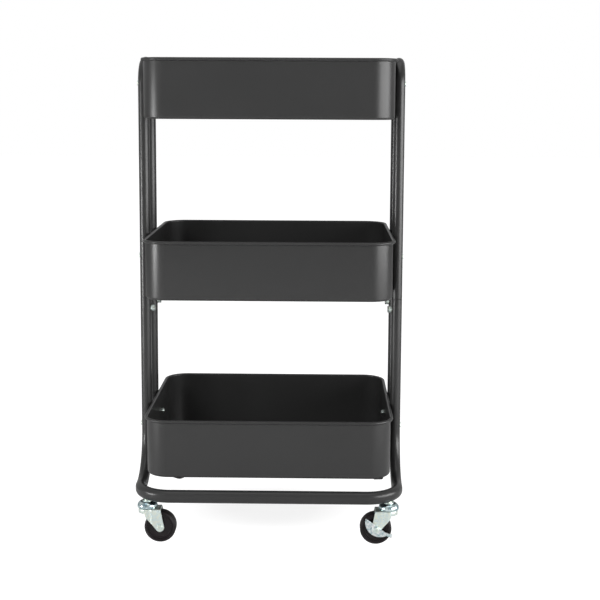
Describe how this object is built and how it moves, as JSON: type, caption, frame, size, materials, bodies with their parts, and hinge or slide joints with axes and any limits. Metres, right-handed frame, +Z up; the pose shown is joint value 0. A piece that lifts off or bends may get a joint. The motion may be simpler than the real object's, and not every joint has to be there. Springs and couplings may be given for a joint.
{
  "type": "rolling tray cart",
  "caption": "Tall rolling cart with open round-cornered steel trays between paired oval tube posts, on swivel casters, some with a half-moon brake.",
  "frame": {"origin": "on the floor, in the middle of the outline that the cart and its casters cover at rest", "axes": "+X to the right along the trays' long side, +Y from the front to the rear, +Z up"},
  "size_m": [0.4374, 0.3799, 0.775],
  "materials": {
    "tray_coat": "satin charcoal powder coat on pressed sheet steel",
    "tube_coat": "satin charcoal powder coat on bent steel tube",
    "zinc_screw": "bright zinc plated screws, bolts, washers and nuts",
    "spacer": "black moulded bushes",
    "sleeve_steel": "plain drawn steel",
    "zinc_plate": "zinc plated pressed steel",
    "fork_zinc": "zinc plated pressed steel, slightly yellow",
    "axle_zinc": "zinc plated, riveted ends",
    "lever_zinc": "bright zinc plated plate",
    "ball_steel": "polished steel",
    "tyre": "dull black brown",
    "wheel_core": "black brown moulded plastic"
  },
  "bodies": {
    "cart_frame": {"upper_tray": "tray_coat", "upper_tray_screws": "zinc_screw", "upper_tray_spacers": "spacer", "upper_tray_nuts": "zinc_screw", "middle_tray": "tray_coat", "middle_tray_screws": "zinc_screw", "middle_tray_spacers": "spacer", "middle_tray_nuts": "zinc_screw", "lower_tray": "tray_coat", "lower_tray_screws": "zinc_screw", "lower_tray_spacers": "spacer", "lower_tray_nuts": "zinc_screw", "left_upper_frame": "tube_coat", "right_upper_frame": "tube_coat", "front_lower_frame": "tube_coat", "rear_lower_frame": "tube_coat", "joint_sleeves": "sleeve_steel", "joint_washers": "zinc_screw", "joint_bolts": "zinc_screw", "caster_inserts": "zinc_plate", "front_left_stem": "zinc_plate", "front_left_race_cup": "zinc_plate", "front_right_stem": "zinc_plate", "front_right_race_cup": "zinc_plate", "rear_left_stem": "zinc_plate", "rear_left_race_cup": "zinc_plate", "rear_right_stem": "zinc_plate", "rear_right_race_cup": "zinc_plate"},
    "front_left_fork": {"front_left_fork": "fork_zinc", "front_left_axle": "axle_zinc", "front_left_balls": "ball_steel"},
    "front_left_wheel": {"front_left_tyre": "tyre", "front_left_hub": "wheel_core", "front_left_axle_sleeve": "ball_steel"},
    "front_right_fork": {"front_right_fork": "fork_zinc", "front_right_axle": "axle_zinc", "front_right_balls": "ball_steel"},
    "front_right_wheel": {"front_right_tyre": "tyre", "front_right_hub": "wheel_core", "front_right_axle_sleeve": "ball_steel"},
    "front_right_brake": {"front_right_brake_lever": "lever_zinc", "front_right_brake_rivet": "lever_zinc"},
    "rear_left_fork": {"rear_left_fork": "fork_zinc", "rear_left_axle": "axle_zinc", "rear_left_balls": "ball_steel"},
    "rear_left_wheel": {"rear_left_tyre": "tyre", "rear_left_hub": "wheel_core", "rear_left_axle_sleeve": "ball_steel"},
    "rear_left_brake": {"rear_left_brake_lever": "lever_zinc", "rear_left_brake_rivet": "lever_zinc"},
    "rear_right_fork": {"rear_right_fork": "fork_zinc", "rear_right_axle": "axle_zinc", "rear_right_balls": "ball_steel"},
    "rear_right_wheel": {"rear_right_tyre": "tyre", "rear_right_hub": "wheel_core", "rear_right_axle_sleeve": "ball_steel"}
  },
  "joints": [
    {"name": "front_left_swivel", "type": "hinge", "parent": "cart_frame", "child": "front_left_fork", "pos_m": [-0.19367, -0.16579, 0.0537], "axis": [0, 0, 1], "continuous": true},
    {"name": "front_left_wheel_spin", "type": "hinge", "parent": "front_left_fork", "child": "front_left_wheel", "pos_m": [-0.17287, -0.16579, 0.0253], "axis": [0, 1, 0], "continuous": true},
    {"name": "front_right_swivel", "type": "hinge", "parent": "cart_frame", "child": "front_right_fork", "pos_m": [0.19367, -0.16579, 0.0537], "axis": [0, 0, 1], "continuous": true},
    {"name": "front_right_wheel_spin", "type": "hinge", "parent": "front_right_fork", "child": "front_right_wheel", "pos_m": [0.17287, -0.16579, 0.0253], "axis": [0, -1, 0], "continuous": true},
    {"name": "front_right_brake_turn", "type": "hinge", "parent": "front_right_fork", "child": "front_right_brake", "pos_m": [0.17287, -0.16579, 0.0253], "axis": [0, -1, 0], "range_deg": [0, 22]},
    {"name": "rear_left_swivel", "type": "hinge", "parent": "cart_frame", "child": "rear_left_fork", "pos_m": [-0.19367, 0.14375, 0.0537], "axis": [0, 0, 1], "continuous": true},
    {"name": "rear_left_wheel_spin", "type": "hinge", "parent": "rear_left_fork", "child": "rear_left_wheel", "pos_m": [-0.1803, 0.15968, 0.0253], "axis": [-0.766, 0.6428, 0], "continuous": true},
    {"name": "rear_left_brake_turn", "type": "hinge", "parent": "rear_left_fork", "child": "rear_left_brake", "pos_m": [-0.1803, 0.15968, 0.0253], "axis": [-0.766, 0.6428, 0], "range_deg": [0, 22]},
    {"name": "rear_right_swivel", "type": "hinge", "parent": "cart_frame", "child": "rear_right_fork", "pos_m": [0.19367, 0.14375, 0.0537], "axis": [0, 0, 1], "continuous": true},
    {"name": "rear_right_wheel_spin", "type": "hinge", "parent": "rear_right_fork", "child": "rear_right_wheel", "pos_m": [0.19186, 0.16447, 0.0253], "axis": [-0.9962, -0.0872, 0], "continuous": true}
  ]
}
